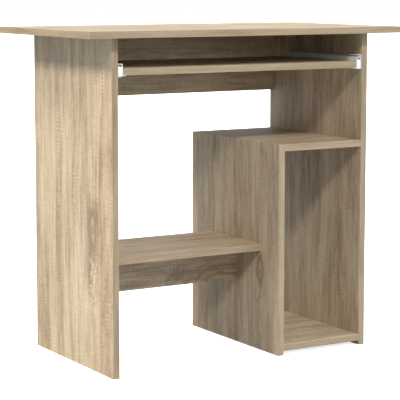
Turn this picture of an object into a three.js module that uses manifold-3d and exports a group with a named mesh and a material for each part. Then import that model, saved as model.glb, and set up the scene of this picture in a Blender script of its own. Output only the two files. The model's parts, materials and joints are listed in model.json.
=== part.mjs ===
// Computer desk with a pull-out keyboard tray, in 15 mm laminated board.
// Millimetres. +X is to the user's right, +Y goes away from the user, +Z is up.
// The origin is on the floor, below the middle of the desktop.

import * as THREE from 'three';
import { mergeVertices } from 'three/addons/utils/BufferGeometryUtils.js';
import Module from 'manifold-3d';

const wasm = await Module();
wasm.setup();

// ---------------------------------------------------------------- driving dimensions

const BOARD = 15;               // thickness of every board
const BAND = 1;                 // thickness of the edge band

const DESK_WIDTH = 800;
const DESK_DEPTH = 450;
const DESK_HEIGHT = 740;

const SIDE_OVERHANG = 70;       // desktop past each side panel
const FRONT_OVERHANG = 35;      // desktop past the front and rear of the side panels

const COMPARTMENT_WIDTH = 210;  // clear width for the computer case
const COMPARTMENT_HEIGHT = 480; // top face of the compartment
const COMPARTMENT_RAISE = 10;   // gap under the compartment floor

const REAR_RAIL_HEIGHT = 150;

const FOOT_SHELF_TOP = 247;
const FOOT_SHELF_FRONT = -120;
const FOOT_SHELF_DEPTH = 225;
const FOOT_RAIL_HEIGHT = 82;

const TRAY_TOP = 661;
const TRAY_FRONT = -187;
const TRAY_DEPTH = 300;
const SLIDE_GAP = 12.5;         // room for a slide at each end of the tray

const STEEL = 1.2;              // sheet thickness of the slides
const FOOT_REACH = 7;           // how far a tray rail's foot runs under the tray
const ROLLER_RADIUS = 12;
const ROLLER_WIDTH = 7;
const ROLLER_BORE = 2.57;
const RIVET_RADIUS = 2.5;
const ROLL_GAP = 0.1;           // roller to the flange that it runs on

const CAM_SETBACK = 24;         // board end to the middle of a cam lock
const CAM_RADIUS = 7.4;
const CAM_DEPTH = 12.2;
const BOLT_RADIUS = 2.9;
const BOLT_GRIP = 10;           // bolt thread in the mating board
const DOWEL_RADIUS = 4;
const DOWEL_LENGTH = 30;
const SCREW_RADIUS = 1.5;
const SCREW_HEAD = 2.5;
const SCREW_LENGTH = 12;

const FIT = 0.3;                // clearance between a fastener and the hole cut for it

const ROUND_FINE = 32;          // sides of a rivet and of a roller
const ROUND = 20;               // sides of cams and their bores
const ROUND_SMALL = 12;         // sides of screws, bolts and dowels

// ---------------------------------------------------------------- worked-out places

const deskX = DESK_WIDTH / 2;
const deskY = DESK_DEPTH / 2;
const frameTop = DESK_HEIGHT - BOARD;
const sideOuter = deskX - SIDE_OVERHANG;
const sideInner = sideOuter - BOARD;
const frameFront = -(deskY - FRONT_OVERHANG);
const frameRear = -frameFront;
const dividerRight = sideInner - COMPARTMENT_WIDTH;
const dividerLeft = dividerRight - BOARD;
const shelfBottom = FOOT_SHELF_TOP - BOARD;
const shelfMiddle = FOOT_SHELF_FRONT + FOOT_SHELF_DEPTH / 2;
const footRailBottom = shelfBottom - FOOT_RAIL_HEIGHT;
const trayHalf = sideInner - SLIDE_GAP;
const trayBottom = TRAY_TOP - BOARD;
const trayRear = TRAY_FRONT + TRAY_DEPTH;

// ---------------------------------------------------------------- materials

function finish(color, roughness, metalness) {
  return new THREE.MeshStandardMaterial({ color, roughness, metalness });
}

const oakBoard = finish(0xc9ae8c, 0.62, 0);
const oakBand = finish(0xc2aa86, 0.58, 0);
const enamel = finish(0xeceeee, 0.38, 0.1);
const nylon = finish(0xf3f2ec, 0.5, 0);
const zinc = finish(0xb9bcbf, 0.35, 0.9);
const beech = finish(0xd9b98a, 0.8, 0);

// ---------------------------------------------------------------- solids

const desk = new THREE.Group();

function solid(geometry) {
  const bare = geometry.index ? geometry.toNonIndexed() : geometry.clone();
  bare.deleteAttribute('normal');
  bare.deleteAttribute('uv');
  const merged = mergeVertices(bare, 1e-4);
  const vertProperties = new Float32Array(merged.attributes.position.array);
  const triVerts = new Uint32Array(merged.index.array);
  return new wasm.Manifold(new wasm.Mesh({ numProp: 3, vertProperties, triVerts }));
}

function surface(body) {
  const mesh = body.getMesh();
  const geometry = new THREE.BufferGeometry();
  geometry.setAttribute('position', new THREE.BufferAttribute(mesh.vertProperties, 3));
  geometry.setIndex(new THREE.BufferAttribute(mesh.triVerts, 1));
  return geometry;
}

function cut(body, tools) {
  return tools.reduce((rest, tool) => rest.subtract(tool), body);
}

function join(bodies) {
  return bodies.reduce((whole, body) => whole.add(body));
}

// A block between two opposite corners, given in any order.
function block(cornerA, cornerB) {
  const size = cornerA.map((a, i) => Math.abs(cornerB[i] - a));
  const middle = cornerA.map((a, i) => (a + cornerB[i]) / 2);
  return new THREE.BoxGeometry(...size).translate(...middle);
}

// A round bar that starts at a point and runs the given distance along one axis.
function bar(start, axis, length, radius, sides) {
  const geometry = new THREE.CylinderGeometry(radius, radius, Math.abs(length), sides);
  geometry.translate(0, length / 2, 0);
  if (axis === 'x') geometry.rotateZ(-Math.PI / 2);
  if (axis === 'z') geometry.rotateX(Math.PI / 2);
  return geometry.translate(...start);
}

// A turned piece: pairs of radius and distance along its own +Z axis.
function turned(profile, sides) {
  const points = profile.map(([radius, along]) => new THREE.Vector2(radius, along));
  return new THREE.LatheGeometry(points, sides).rotateX(Math.PI / 2);
}

// A flat plate whose outline is given as (y, z) pairs, from one x to another.
function plate(outline, x0, x1) {
  const shape = new THREE.Shape(outline.map(([y, z]) => new THREE.Vector2(y, z)));
  const geometry = new THREE.ExtrudeGeometry(shape, { depth: Math.abs(x1 - x0), bevelEnabled: false });
  geometry.applyMatrix4(new THREE.Matrix4().makeBasis(
    new THREE.Vector3(0, 1, 0), new THREE.Vector3(0, 0, 1), new THREE.Vector3(1, 0, 0)));
  return geometry.translate(Math.min(x0, x1), 0, 0);
}

// A strip whose section is given as (x, z) pairs, from one y to another.
function strip(section, y0, y1) {
  const shape = new THREE.Shape(section.map(([x, z]) => new THREE.Vector2(x, z)));
  const geometry = new THREE.ExtrudeGeometry(shape, { depth: y1 - y0, bevelEnabled: false });
  return geometry.rotateX(Math.PI / 2).translate(0, y1, 0);
}

function place(name, geometry, material, parent = desk, position = [0, 0, 0]) {
  const mesh = new THREE.Mesh(geometry, material);
  mesh.name = name;
  mesh.position.set(...position);
  parent.add(mesh);
  return mesh;
}

// ---------------------------------------------------------------- holes, collected for each board

const holes = {};

function drill(boardName, start, axis, length, radius, sides) {
  holes[boardName] = holes[boardName] || [];
  holes[boardName].push({ start, axis, length, radius, sides });
}

// A board is a block less its own holes, placed by its middle.
function board(name, cornerA, cornerB) {
  const middle = cornerA.map((a, i) => (a + cornerB[i]) / 2);
  const local = (point) => point.map((value, i) => value - middle[i]);
  const tools = (holes[name] || []).map((hole) =>
    solid(bar(local(hole.start), hole.axis, hole.length, hole.radius, hole.sides)));
  const body = cut(solid(block(local(cornerA), local(cornerB))), tools);
  place(name, surface(body), oakBoard, desk, middle);
}

function band(name, cornerA, cornerB) {
  const middle = cornerA.map((a, i) => (a + cornerB[i]) / 2);
  const local = (point) => point.map((value, i) => value - middle[i]);
  place(name, block(local(cornerA), local(cornerB)), oakBand, desk, middle);
}

// ---------------------------------------------------------------- cam locks and dowels

// Local frame of a cam lock: its face at z = 0 looks along +z, its bolt leaves along +x.
function camGeometry() {
  const slotRadius = 3.9;
  const driverLength = 7;
  const driverWidth = 1.4;
  const driverDepth = 1.6;
  const disc = bar([0, 0, -CAM_DEPTH], 'z', CAM_DEPTH, CAM_RADIUS, ROUND);
  const slot = bar([-3, 0, -BOARD / 2], 'x', CAM_RADIUS + 4, slotRadius, ROUND_SMALL);
  const long = driverLength / 2;
  const thin = driverWidth / 2;
  const crossA = block([-long, -thin, -driverDepth], [long, thin, 1]);
  const crossB = block([-thin, -long, -driverDepth], [thin, long, 1]);
  return surface(cut(solid(disc), [solid(slot), solid(crossA), solid(crossB)]));
}

function boltGeometry() {
  const profile = [
    [0, -2], [2.6, -2], [3.2, 1], [2, 2.4],
    [2, CAM_SETBACK - 1.4], [3.3, CAM_SETBACK - 1.4], [3.3, CAM_SETBACK],
    [BOLT_RADIUS, CAM_SETBACK], [BOLT_RADIUS - 0.8, CAM_SETBACK + BOLT_GRIP], [0, CAM_SETBACK + BOLT_GRIP],
  ];
  return turned(profile, ROUND_SMALL).rotateY(Math.PI / 2).translate(0, 0, -BOARD / 2);
}

// face: point on the board's face over the cam. out: the way the face looks. towards: the bolt's way.
function camLock(name, host, mate, face, out, towards) {
  const outward = new THREE.Vector3(...out);
  const along = new THREE.Vector3(...towards);
  const group = new THREE.Group();
  group.applyMatrix4(new THREE.Matrix4().makeBasis(
    along, new THREE.Vector3().crossVectors(outward, along), outward));
  group.position.set(...face);
  desk.add(group);
  place(`${name}_cam`, camGeometry(), zinc, group);
  place(`${name}_bolt`, boltGeometry(), zinc, group);

  const axisOf = (vector) => ['x', 'y', 'z'][vector.findIndex((value) => value !== 0)];
  const signOf = (vector) => vector.reduce((sum, value) => sum + value, 0);
  const core = face.map((value, i) => value - out[i] * BOARD / 2);
  const joint = core.map((value, i) => value + towards[i] * CAM_SETBACK);
  const sign = signOf(towards);
  const past = 1;
  const mouth = face.map((value, i) => value + out[i] * past);
  drill(host, mouth, axisOf(out), -signOf(out) * (CAM_DEPTH + FIT + past), CAM_RADIUS + FIT, ROUND);
  drill(host, core, axisOf(towards), sign * (CAM_SETBACK + past), 3.3 + FIT, ROUND_SMALL);
  const mateMouth = joint.map((value, i) => value - towards[i] * past);
  drill(mate, mateMouth, axisOf(towards), sign * (BOLT_GRIP + FIT + past), BOLT_RADIUS + FIT, ROUND_SMALL);
}

// A dowel across the joint between two boards, centred on a point of the joint face.
function dowel(name, host, mate, point, towards) {
  const inMate = 10;
  const inHost = DOWEL_LENGTH - inMate;
  const chamfer = 1;
  const profile = [
    [0, 0], [DOWEL_RADIUS - chamfer, 0], [DOWEL_RADIUS, chamfer],
    [DOWEL_RADIUS, DOWEL_LENGTH - chamfer], [DOWEL_RADIUS - chamfer, DOWEL_LENGTH], [0, DOWEL_LENGTH],
  ];
  const geometry = turned(profile, ROUND_SMALL).rotateY(Math.PI / 2).translate(-inHost, 0, 0);
  if (towards < 0) geometry.rotateZ(Math.PI);
  place(name, geometry, beech, desk, point);
  const [x, y, z] = point;
  const past = 1;
  const radius = DOWEL_RADIUS + FIT;
  drill(host, [x + towards * past, y, z], 'x', -towards * (inHost + FIT + past), radius, ROUND_SMALL);
  drill(mate, [x - towards * past, y, z], 'x', towards * (inMate + FIT + past), radius, ROUND_SMALL);
}

// ---------------------------------------------------------------- roller slides

// A countersunk screw: head flush at z = 0, point along -z.
function screwGeometry() {
  const profile = [
    [0, -SCREW_LENGTH], [SCREW_RADIUS, -SCREW_LENGTH + 2.5], [SCREW_RADIUS, -STEEL],
    [SCREW_HEAD, -0.1], [SCREW_HEAD, 0], [0, 0],
  ];
  return turned(profile, ROUND_SMALL);
}

// The hole that a countersunk screw needs in the sheet steel, in the screw's own frame.
function countersink() {
  const profile = [
    [0, -STEEL - 1], [SCREW_RADIUS + FIT, -STEEL - 1], [SCREW_RADIUS + FIT, -STEEL],
    [SCREW_HEAD + FIT, -0.1], [SCREW_HEAD + FIT, 1], [0, 1],
  ];
  return turned(profile, ROUND_SMALL);
}

function rollerGeometry() {
  const round = 1;
  const hub = 4.6;
  const dish = 1;
  const profile = [
    [ROLLER_BORE, 0], [hub, 0], [hub + dish, dish], [ROLLER_RADIUS - 2 * dish, dish],
    [ROLLER_RADIUS - round, 0], [ROLLER_RADIUS, round], [ROLLER_RADIUS, ROLLER_WIDTH - round],
    [ROLLER_RADIUS - round, ROLLER_WIDTH], [ROLLER_BORE, ROLLER_WIDTH], [ROLLER_BORE, 0],
  ];
  return turned(profile, ROUND_FINE).rotateY(Math.PI / 2);
}

// A rivet that starts flush in its sheet at x = 0 and ends in a flat head past the roller.
function rivetGeometry(headStart) {
  const headRadius = 4;
  const headThickness = 0.9;
  const headEnd = headStart + headThickness;
  const profile = [
    [0, 0], [RIVET_RADIUS, 0], [RIVET_RADIUS, headStart], [headRadius, headStart],
    [headRadius, headEnd - 0.4], [headRadius - 0.6, headEnd], [0, headEnd],
  ];
  return turned(profile, ROUND_FINE).rotateY(Math.PI / 2);
}

const footBottom = trayBottom - STEEL;
const flangeTop = TRAY_TOP + 9.6;
const flangeBottom = flangeTop - STEEL;
const channelBottom = trayBottom - 3;
const channelFloor = channelBottom + STEEL;
const channelTop = flangeTop + 1.6;
const tabTop = TRAY_TOP + 3;
const flareTop = TRAY_TOP + 14.7;
const flareStart = TRAY_FRONT + 45;
const flareEnd = TRAY_FRONT + 29;
const channelReach = 9.5;
const slantStart = trayRear - 17;
const slantDrop = 10;
const frontRollerY = TRAY_FRONT + 14.5;
const rearRollerY = trayRear - 18;
const frontRollerZ = flangeBottom - ROLL_GAP - ROLLER_RADIUS;
const rearRollerZ = channelFloor + ROLL_GAP + ROLLER_RADIUS;
const rollerShy = 0.9;          // roller to the sheet that carries it
const railScrewY = [TRAY_FRONT + 60, trayRear - 60];
const trayScrewY = [TRAY_FRONT + 40, trayRear - 40];
const channelScrewZ = (channelFloor + channelTop) / 2;

// side is +1 for the right-hand slide and -1 for the left-hand one.
function slide(side, hand) {
  const wall = side * sideInner;
  const web = wall - side * STEEL;
  const lip = wall - side * channelReach;
  const trayEdge = side * trayHalf;
  const trayWeb = trayEdge + side * STEEL;
  const turn = side > 0 ? 0 : Math.PI;

  // Cabinet rail: a channel that opens towards the tray. Its mouth lets the rear roller in: the right
  // rail flares up at the front, and the left rail's top flange is cut back there.
  const mouthTop = side > 0 ? flareTop : tabTop;
  const webOutline = [
    [TRAY_FRONT, channelBottom], [trayRear, channelBottom], [trayRear, channelTop - slantDrop],
    [slantStart, channelTop], [flareStart, channelTop], [flareEnd, mouthTop], [TRAY_FRONT, mouthTop],
  ];
  const flare = [
    [flareEnd, flareTop], [TRAY_FRONT, flareTop],
    [TRAY_FRONT, flareTop - STEEL], [flareEnd, flareTop - STEEL],
  ];
  const topOutline = [
    [slantStart, channelTop], [flareStart, channelTop], ...(side > 0 ? flare : []),
    [flareStart, channelTop - STEEL], [slantStart, channelTop - STEEL],
  ];
  const channelParts = [
    solid(plate(webOutline, wall, web)),
    solid(plate(topOutline, wall, lip)),
    solid(block([wall, TRAY_FRONT, channelBottom], [lip, trayRear, channelFloor])),
  ];
  const rivetHole = RIVET_RADIUS + 0.02;
  const past = 1;
  const channelHoles = [
    solid(bar([wall + side * past, frontRollerY, frontRollerZ], 'x', -side * (STEEL + 2 * past),
      rivetHole, ROUND_FINE)),
  ];
  railScrewY.forEach((y, index) => {
    const sink = countersink().rotateY(-side * Math.PI / 2).translate(web, y, channelScrewZ);
    channelHoles.push(solid(sink));
    const screw = screwGeometry().rotateY(-side * Math.PI / 2);
    place(`${hand}_cabinet_rail_screw_${index + 1}`, screw, zinc, desk, [web, y, channelScrewZ]);
    drill(`${hand}_side_panel`, [wall - side * past, y, channelScrewZ], 'x',
      side * (SCREW_LENGTH - STEEL + FIT + past), SCREW_RADIUS + FIT, ROUND_SMALL);
  });
  place(`${hand}_cabinet_rail`, surface(cut(join(channelParts), channelHoles)), enamel);

  // Tray rail: foot under the tray, web against its end, flange over the rollers, closed front.
  const rollerTab = side * (sideInner - STEEL - 0.8);
  const foldedSection = [
    [trayEdge - side * FOOT_REACH, footBottom], [trayWeb, footBottom], [trayWeb, flangeBottom],
    [rollerTab, flangeBottom], [rollerTab, flangeTop], [trayEdge, flangeTop],
    [trayEdge, trayBottom], [trayEdge - side * FOOT_REACH, trayBottom],
  ];
  const trayParts = [
    solid(strip(foldedSection, TRAY_FRONT, trayRear)),
    solid(block([trayEdge, TRAY_FRONT, footBottom], [rollerTab, TRAY_FRONT + STEEL, tabTop])),
  ];
  const trayHoles = [
    solid(bar([trayEdge - side * past, rearRollerY, rearRollerZ], 'x', side * (STEEL + 2 * past),
      rivetHole, ROUND_FINE)),
  ];
  trayScrewY.forEach((y, index) => {
    const screwX = trayEdge - side * FOOT_REACH / 2;
    const sink = countersink().rotateX(Math.PI).translate(screwX, y, footBottom);
    trayHoles.push(solid(sink));
    const screw = screwGeometry().rotateX(Math.PI);
    place(`${hand}_tray_rail_screw_${index + 1}`, screw, zinc, desk, [screwX, y, footBottom]);
    drill('keyboard_tray', [screwX, y, trayBottom - past], 'z',
      SCREW_LENGTH - STEEL + FIT + past, SCREW_RADIUS + FIT, ROUND_SMALL);
  });
  place(`${hand}_tray_rail`, surface(cut(join(trayParts), trayHoles)), enamel);

  // Rollers and their rivets. Each rivet starts flush in its own sheet.
  const inward = new THREE.Group();
  inward.position.set(wall, frontRollerY, frontRollerZ);
  inward.rotation.z = Math.PI - turn;
  desk.add(inward);
  place(`${hand}_front_roller`, rollerGeometry(), nylon, inward, [STEEL + rollerShy, 0, 0]);
  place(`${hand}_front_rivet`, rivetGeometry(STEEL + rollerShy + ROLLER_WIDTH + 0.15), zinc, inward);

  const outwardGroup = new THREE.Group();
  outwardGroup.position.set(trayEdge, rearRollerY, rearRollerZ);
  outwardGroup.rotation.z = turn;
  desk.add(outwardGroup);
  place(`${hand}_rear_roller`, rollerGeometry(), nylon, outwardGroup, [STEEL + rollerShy, 0, 0]);
  place(`${hand}_rear_rivet`, rivetGeometry(STEEL + rollerShy + ROLLER_WIDTH + 0.15), zinc, outwardGroup);
}

slide(-1, 'left');
slide(1, 'right');

// ---------------------------------------------------------------- fasteners between boards

const deskCamY = [frameFront + 50, frameRear - 80];
for (const [side, hand] of [[-1, 'left'], [1, 'right']]) {
  deskCamY.forEach((y, index) => {
    const position = index === 0 ? 'front' : 'rear';
    const face = [side * sideInner, y, frameTop - CAM_SETBACK];
    camLock(`desktop_${hand}_${position}`, `${hand}_side_panel`, 'desktop', face, [-side, 0, 0], [0, 0, 1]);
  });
  const railFace = [side * (sideInner - CAM_SETBACK), frameRear, frameTop - REAR_RAIL_HEIGHT / 2];
  camLock(`rear_rail_${hand}`, 'rear_rail', `${hand}_side_panel`, railFace, [0, 1, 0], [side, 0, 0]);
}

const footRailRear = shelfMiddle + BOARD / 2;
const footRailMiddle = footRailBottom + FOOT_RAIL_HEIGHT / 2;
camLock('foot_rail_left', 'foot_rail', 'left_side_panel',
  [-sideInner + CAM_SETBACK, footRailRear, footRailMiddle], [0, 1, 0], [-1, 0, 0]);
camLock('foot_rail_right', 'foot_rail', 'divider_panel',
  [dividerLeft - CAM_SETBACK, footRailRear, footRailMiddle], [0, 1, 0], [1, 0, 0]);

const shelfCore = FOOT_SHELF_TOP - BOARD / 2;
const shelfDowelY = FOOT_SHELF_FRONT + 45;
dowel('foot_shelf_left_dowel', 'foot_shelf', 'left_side_panel', [-sideInner, shelfDowelY, shelfCore], -1);
dowel('foot_shelf_right_dowel', 'foot_shelf', 'divider_panel', [dividerLeft, shelfDowelY, shelfCore], 1);

const levels = [
  ['compartment_top', COMPARTMENT_HEIGHT - BOARD],
  ['compartment_floor', COMPARTMENT_RAISE],
];
for (const [level, bottom] of levels) {
  const z = bottom + BOARD / 2;
  dowel(`${level}_left_dowel`, level, 'divider_panel', [dividerRight, 0, z], -1);
  dowel(`${level}_right_dowel`, level, 'right_side_panel', [sideInner, 0, z], 1);
}

// ---------------------------------------------------------------- boards and their edge bands

const bandedFront = frameFront + BAND;

board('desktop', [-deskX + BAND, -deskY + BAND, frameTop], [deskX - BAND, deskY - BAND, DESK_HEIGHT]);
const ringMiddle = DESK_HEIGHT - BOARD / 2;
const ringOuter = solid(block([-deskX, -deskY, -BOARD / 2], [deskX, deskY, BOARD / 2]));
const ringInner = solid(block([-deskX + BAND, -deskY + BAND, -BOARD], [deskX - BAND, deskY - BAND, BOARD]));
place('desktop_edge_band', surface(cut(ringOuter, [ringInner])), oakBand, desk, [0, 0, ringMiddle]);

for (const [side, hand] of [[-1, 'left'], [1, 'right']]) {
  board(`${hand}_side_panel`, [side * sideInner, bandedFront, 0], [side * sideOuter, frameRear, frameTop]);
  band(`${hand}_side_edge_band`, [side * sideInner, frameFront, 0], [side * sideOuter, bandedFront, frameTop]);
}

board('divider_panel', [dividerLeft, bandedFront, 0], [dividerRight, frameRear, COMPARTMENT_HEIGHT]);
band('divider_edge_band', [dividerLeft, frameFront, 0], [dividerRight, bandedFront, COMPARTMENT_HEIGHT]);

for (const [level, bottom] of levels) {
  board(level, [dividerRight, bandedFront, bottom], [sideInner, frameRear, bottom + BOARD]);
  band(`${level}_edge_band`, [dividerRight, frameFront, bottom], [sideInner, bandedFront, bottom + BOARD]);
}

const shelfRear = FOOT_SHELF_FRONT + FOOT_SHELF_DEPTH;
board('foot_shelf', [-sideInner, FOOT_SHELF_FRONT + BAND, shelfBottom], [dividerLeft, shelfRear, FOOT_SHELF_TOP]);
band('foot_shelf_edge_band', [-sideInner, FOOT_SHELF_FRONT, shelfBottom],
  [dividerLeft, FOOT_SHELF_FRONT + BAND, FOOT_SHELF_TOP]);
board('foot_rail', [-sideInner, footRailRear - BOARD, footRailBottom], [dividerLeft, footRailRear, shelfBottom]);

board('rear_rail', [-sideInner, frameRear - BOARD, frameTop - REAR_RAIL_HEIGHT], [sideInner, frameRear, frameTop]);

board('keyboard_tray', [-trayHalf, TRAY_FRONT + BAND, trayBottom], [trayHalf, trayRear, TRAY_TOP]);
band('keyboard_tray_edge_band', [-trayHalf, TRAY_FRONT, trayBottom], [trayHalf, TRAY_FRONT + BAND, TRAY_TOP]);

export default desk;
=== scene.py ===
# %% [markdown]
# # A small computer desk with a keyboard tray
#
# This lesson dresses a finished mechanical model of a flat-pack desk. The model is the fixed frame:
# every board, slide, roller and fastener already has its true size and place there. Blender adds what
# a plain model lacks, which is the printed oak face, the rubbed arrises, the folded steel and the light.

# %% Load the frame
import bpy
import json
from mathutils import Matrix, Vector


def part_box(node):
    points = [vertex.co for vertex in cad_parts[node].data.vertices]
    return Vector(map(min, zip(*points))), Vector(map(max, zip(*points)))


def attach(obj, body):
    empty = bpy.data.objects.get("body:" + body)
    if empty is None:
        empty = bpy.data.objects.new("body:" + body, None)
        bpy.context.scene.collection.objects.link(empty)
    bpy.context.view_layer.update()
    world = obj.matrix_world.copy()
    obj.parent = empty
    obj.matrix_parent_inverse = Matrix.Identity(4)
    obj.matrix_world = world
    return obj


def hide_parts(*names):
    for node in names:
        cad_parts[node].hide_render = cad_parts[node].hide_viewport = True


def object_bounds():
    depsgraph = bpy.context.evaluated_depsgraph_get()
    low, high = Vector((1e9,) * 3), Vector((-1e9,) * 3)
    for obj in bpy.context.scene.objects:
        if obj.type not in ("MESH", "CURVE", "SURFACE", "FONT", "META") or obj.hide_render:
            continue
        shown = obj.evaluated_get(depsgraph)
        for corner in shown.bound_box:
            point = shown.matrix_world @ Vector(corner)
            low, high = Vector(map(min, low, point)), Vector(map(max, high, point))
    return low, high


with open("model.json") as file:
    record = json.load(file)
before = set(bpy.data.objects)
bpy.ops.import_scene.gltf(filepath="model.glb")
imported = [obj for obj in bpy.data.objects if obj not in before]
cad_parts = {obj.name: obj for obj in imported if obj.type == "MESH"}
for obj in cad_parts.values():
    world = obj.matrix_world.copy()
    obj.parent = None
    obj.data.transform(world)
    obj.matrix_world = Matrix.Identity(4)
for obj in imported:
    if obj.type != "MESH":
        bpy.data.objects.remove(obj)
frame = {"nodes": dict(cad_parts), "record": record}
cad_low, cad_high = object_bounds()
print("the desk is", [round(h - l, 4) for l, h in zip(cad_low, cad_high)], "metres")

# %% Tools for the rest of the lesson
import json
import math
import bmesh
import bpy
from mathutils import Matrix, Vector

MILLIMETRE = 0.001
desk_middle = (cad_low + cad_high) / 2
bodies = frame["record"]["behaviour"]["bodies"]
body_of_node = {name: body for body, names in bodies.items() for name in names}


def new_object(name, data):
    """An object in the scene."""
    made = bpy.data.objects.new(name, data)
    bpy.context.scene.collection.objects.link(made)
    return made


# %% [markdown]
# ## Where we stand
#
# A desk is usually shown from about eye height, from far away and through a long lens, so its uprights
# stay nearly parallel. A 142 mm lens from over three and a half metres gives that calm, flat drawing.
# The camera looks a little down, and a small shift centres the desk without tilting it any further.

# %% Camera
LENS = 142.4
LOOK_RIGHT = math.radians(30.6)
LOOK_DOWN = math.radians(6.7)
EYE = Vector((-1.860, -3.106, 0.840))
SHIFT = (0.0195, -0.08)

camera_data = bpy.data.cameras.new("desk_camera")
camera_data.lens = LENS
camera_data.sensor_width = 36.0
camera_data.shift_x, camera_data.shift_y = SHIFT
camera = new_object("desk_camera", camera_data)
camera.location = EYE
camera.rotation_euler = (math.pi / 2 - LOOK_DOWN, 0.0, -LOOK_RIGHT)
bpy.context.scene.camera = camera
print("the camera is", round((EYE - desk_middle).length, 2), "metres from the desk")

# %% [markdown]
# ## Wiring nodes by hand
#
# Every finish below is a small graph of nodes. Writing `nodes.new` and `links.new` for each one hides
# what the graph does, so a few short helpers come first. `feed` is the heart of them: it links a socket
# to another socket, or simply sets it to a value.

# %% Node helpers
def feed(tree, socket, value):
    """Links a socket to another one, or sets it to a plain value."""
    if isinstance(value, bpy.types.NodeSocket):
        tree.links.new(value, socket)
    else:
        socket.default_value = value


def node(tree, kind, sockets=None, **settings):
    """A new node, with its settings, and its sockets fed by name or by number."""
    made = tree.nodes.new(kind)
    for name, value in settings.items():
        setattr(made, name, value)
    for name, value in (sockets or {}).items():
        feed(tree, made.inputs[name], value)
    return made


def maths(tree, operation, *values, clamp=False):
    """The result of one Math node."""
    sockets = dict(enumerate(values))
    return node(tree, "ShaderNodeMath", sockets, operation=operation, use_clamp=clamp).outputs[0]


def total(tree, *values):
    """The sum of several values."""
    result = values[0]
    for value in values[1:]:
        result = maths(tree, "ADD", result, value)
    return result


def product(tree, *values):
    """The product of several values."""
    result = values[0]
    for value in values[1:]:
        result = maths(tree, "MULTIPLY", result, value)
    return result


def vector(tree, x, y, z):
    """A vector put together from three values."""
    return node(tree, "ShaderNodeCombineXYZ", {0: x, 1: y, 2: z}).outputs[0]


def split(tree, value):
    """The three values of a vector."""
    return node(tree, "ShaderNodeSeparateXYZ", {0: value}).outputs


def vector_maths(tree, operation, *values):
    """The result of one Vector Math node: a vector, or one value for a length or a dot product."""
    made = node(tree, "ShaderNodeVectorMath", dict(enumerate(values)), operation=operation)
    return made.outputs["Value" if operation in ("LENGTH", "DOT_PRODUCT") else "Vector"]


def smooth(tree, value, low, high, start=0.0, end=1.0):
    """A soft step: start below low, end above high."""
    sockets = {"Value": value, "From Min": low, "From Max": high, "To Min": start, "To Max": end}
    return node(tree, "ShaderNodeMapRange", sockets, interpolation_type="SMOOTHSTEP").outputs[0]


def noise(tree, place, scale=1.0, detail=2.0, roughness=0.5, distortion=0.0):
    """Cloudy noise from 0 to 1."""
    sockets = {"Vector": place, "Scale": scale, "Detail": detail, "Roughness": roughness}
    return node(tree, "ShaderNodeTexNoise", {**sockets, "Distortion": distortion}).outputs[0]


def blend(tree, share, first, second, way="MIX"):
    """Two colours mixed."""
    made = node(tree, "ShaderNodeMix", data_type="RGBA", blend_type=way)
    for socket, value in zip((made.inputs[0], made.inputs[6], made.inputs[7]), (share, first, second)):
        feed(tree, socket, value)
    return made.outputs[2]


def ramp(tree, value, stops):
    """A colour ramp with evenly spaced stops."""
    made = node(tree, "ShaderNodeValToRGB", {0: value})
    elements = made.color_ramp.elements
    elements[0].color = stops[0]
    elements[-1].color = stops[-1]
    for index, colour in enumerate(stops[1:-1], start=1):
        elements.new(index / (len(stops) - 1)).color = colour
    return made.outputs[0]


def centred(tree, value):
    """A value that swings round one half, moved to swing round zero."""
    return maths(tree, "SUBTRACT", value, 0.5)


def paint(red, green, blue):
    """A linear colour from the 0 to 255 numbers of a paint chart."""
    shares = [channel / 255 for channel in (red, green, blue)]
    return tuple(s / 12.92 if s <= 0.04045 else ((s + 0.055) / 1.055) ** 2.4 for s in shares) + (1.0,)


# %% Groups and materials
ORIGIN = (0.0, 0.0, 0.0)


def shader_group(name, inputs, *outputs):
    """An empty shader node group: the tree, and its input and output sockets by name."""
    tree = bpy.data.node_groups.new(name, "ShaderNodeTree")
    for label, value in inputs.items():
        kind = "NodeSocketVector" if isinstance(value, tuple) else "NodeSocketFloat"
        tree.interface.new_socket(label, in_out="INPUT", socket_type=kind).default_value = value
    for label in outputs:
        kind = "NodeSocketColor" if label == "Color" else "NodeSocketFloat"
        tree.interface.new_socket(label, in_out="OUTPUT", socket_type=kind)
    return tree, tree.nodes.new("NodeGroupInput").outputs, tree.nodes.new("NodeGroupOutput").inputs


def use(tree, group, **sockets):
    """Places a group in a material; an underscore in a keyword stands for a space."""
    made = node(tree, "ShaderNodeGroup", node_tree=group)
    for name, value in sockets.items():
        feed(tree, made.inputs[name.replace("_", " ")], value)
    return made.outputs


def new_material(name, **plain):
    """A material with one Principled shader: its tree, the shader, and the object coordinates."""
    material = bpy.data.materials.new(name)
    material.use_nodes = True
    tree = material.node_tree
    shader = tree.nodes["Principled BSDF"]
    for label, value in plain.items():
        shader.inputs[label.replace("_", " ")].default_value = value
    place = tree.nodes.new("ShaderNodeTexCoord").outputs["Object"]
    return material, tree, shader, place


def coat(tree, shader, colour, rough, height, relief):
    """Feeds a shader its colour, its roughness and a small relief, as a height times a length in metres."""
    feed(tree, shader.inputs["Base Color"], colour)
    feed(tree, shader.inputs["Roughness"], rough)
    bump = node(tree, "ShaderNodeBump", {"Height": height, "Distance": relief})
    feed(tree, shader.inputs["Normal"], bump.outputs[0])


# %% [markdown]
# ## The oak face
#
# The boards are chipboard with a printed and embossed face. The print imitates light oak that was sawn
# rough and glued up from narrow staves, so three things have to show: staves whose tone jumps from one to
# the next, fine lines that run along them, and pale flecks that the saw left across them. An image
# would repeat; noise that is stretched along the grain doesn't, and it is sharp at every distance.
#
# The group works in the board's own grain space: X runs along the grain, Y across it and Z through it.

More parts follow.
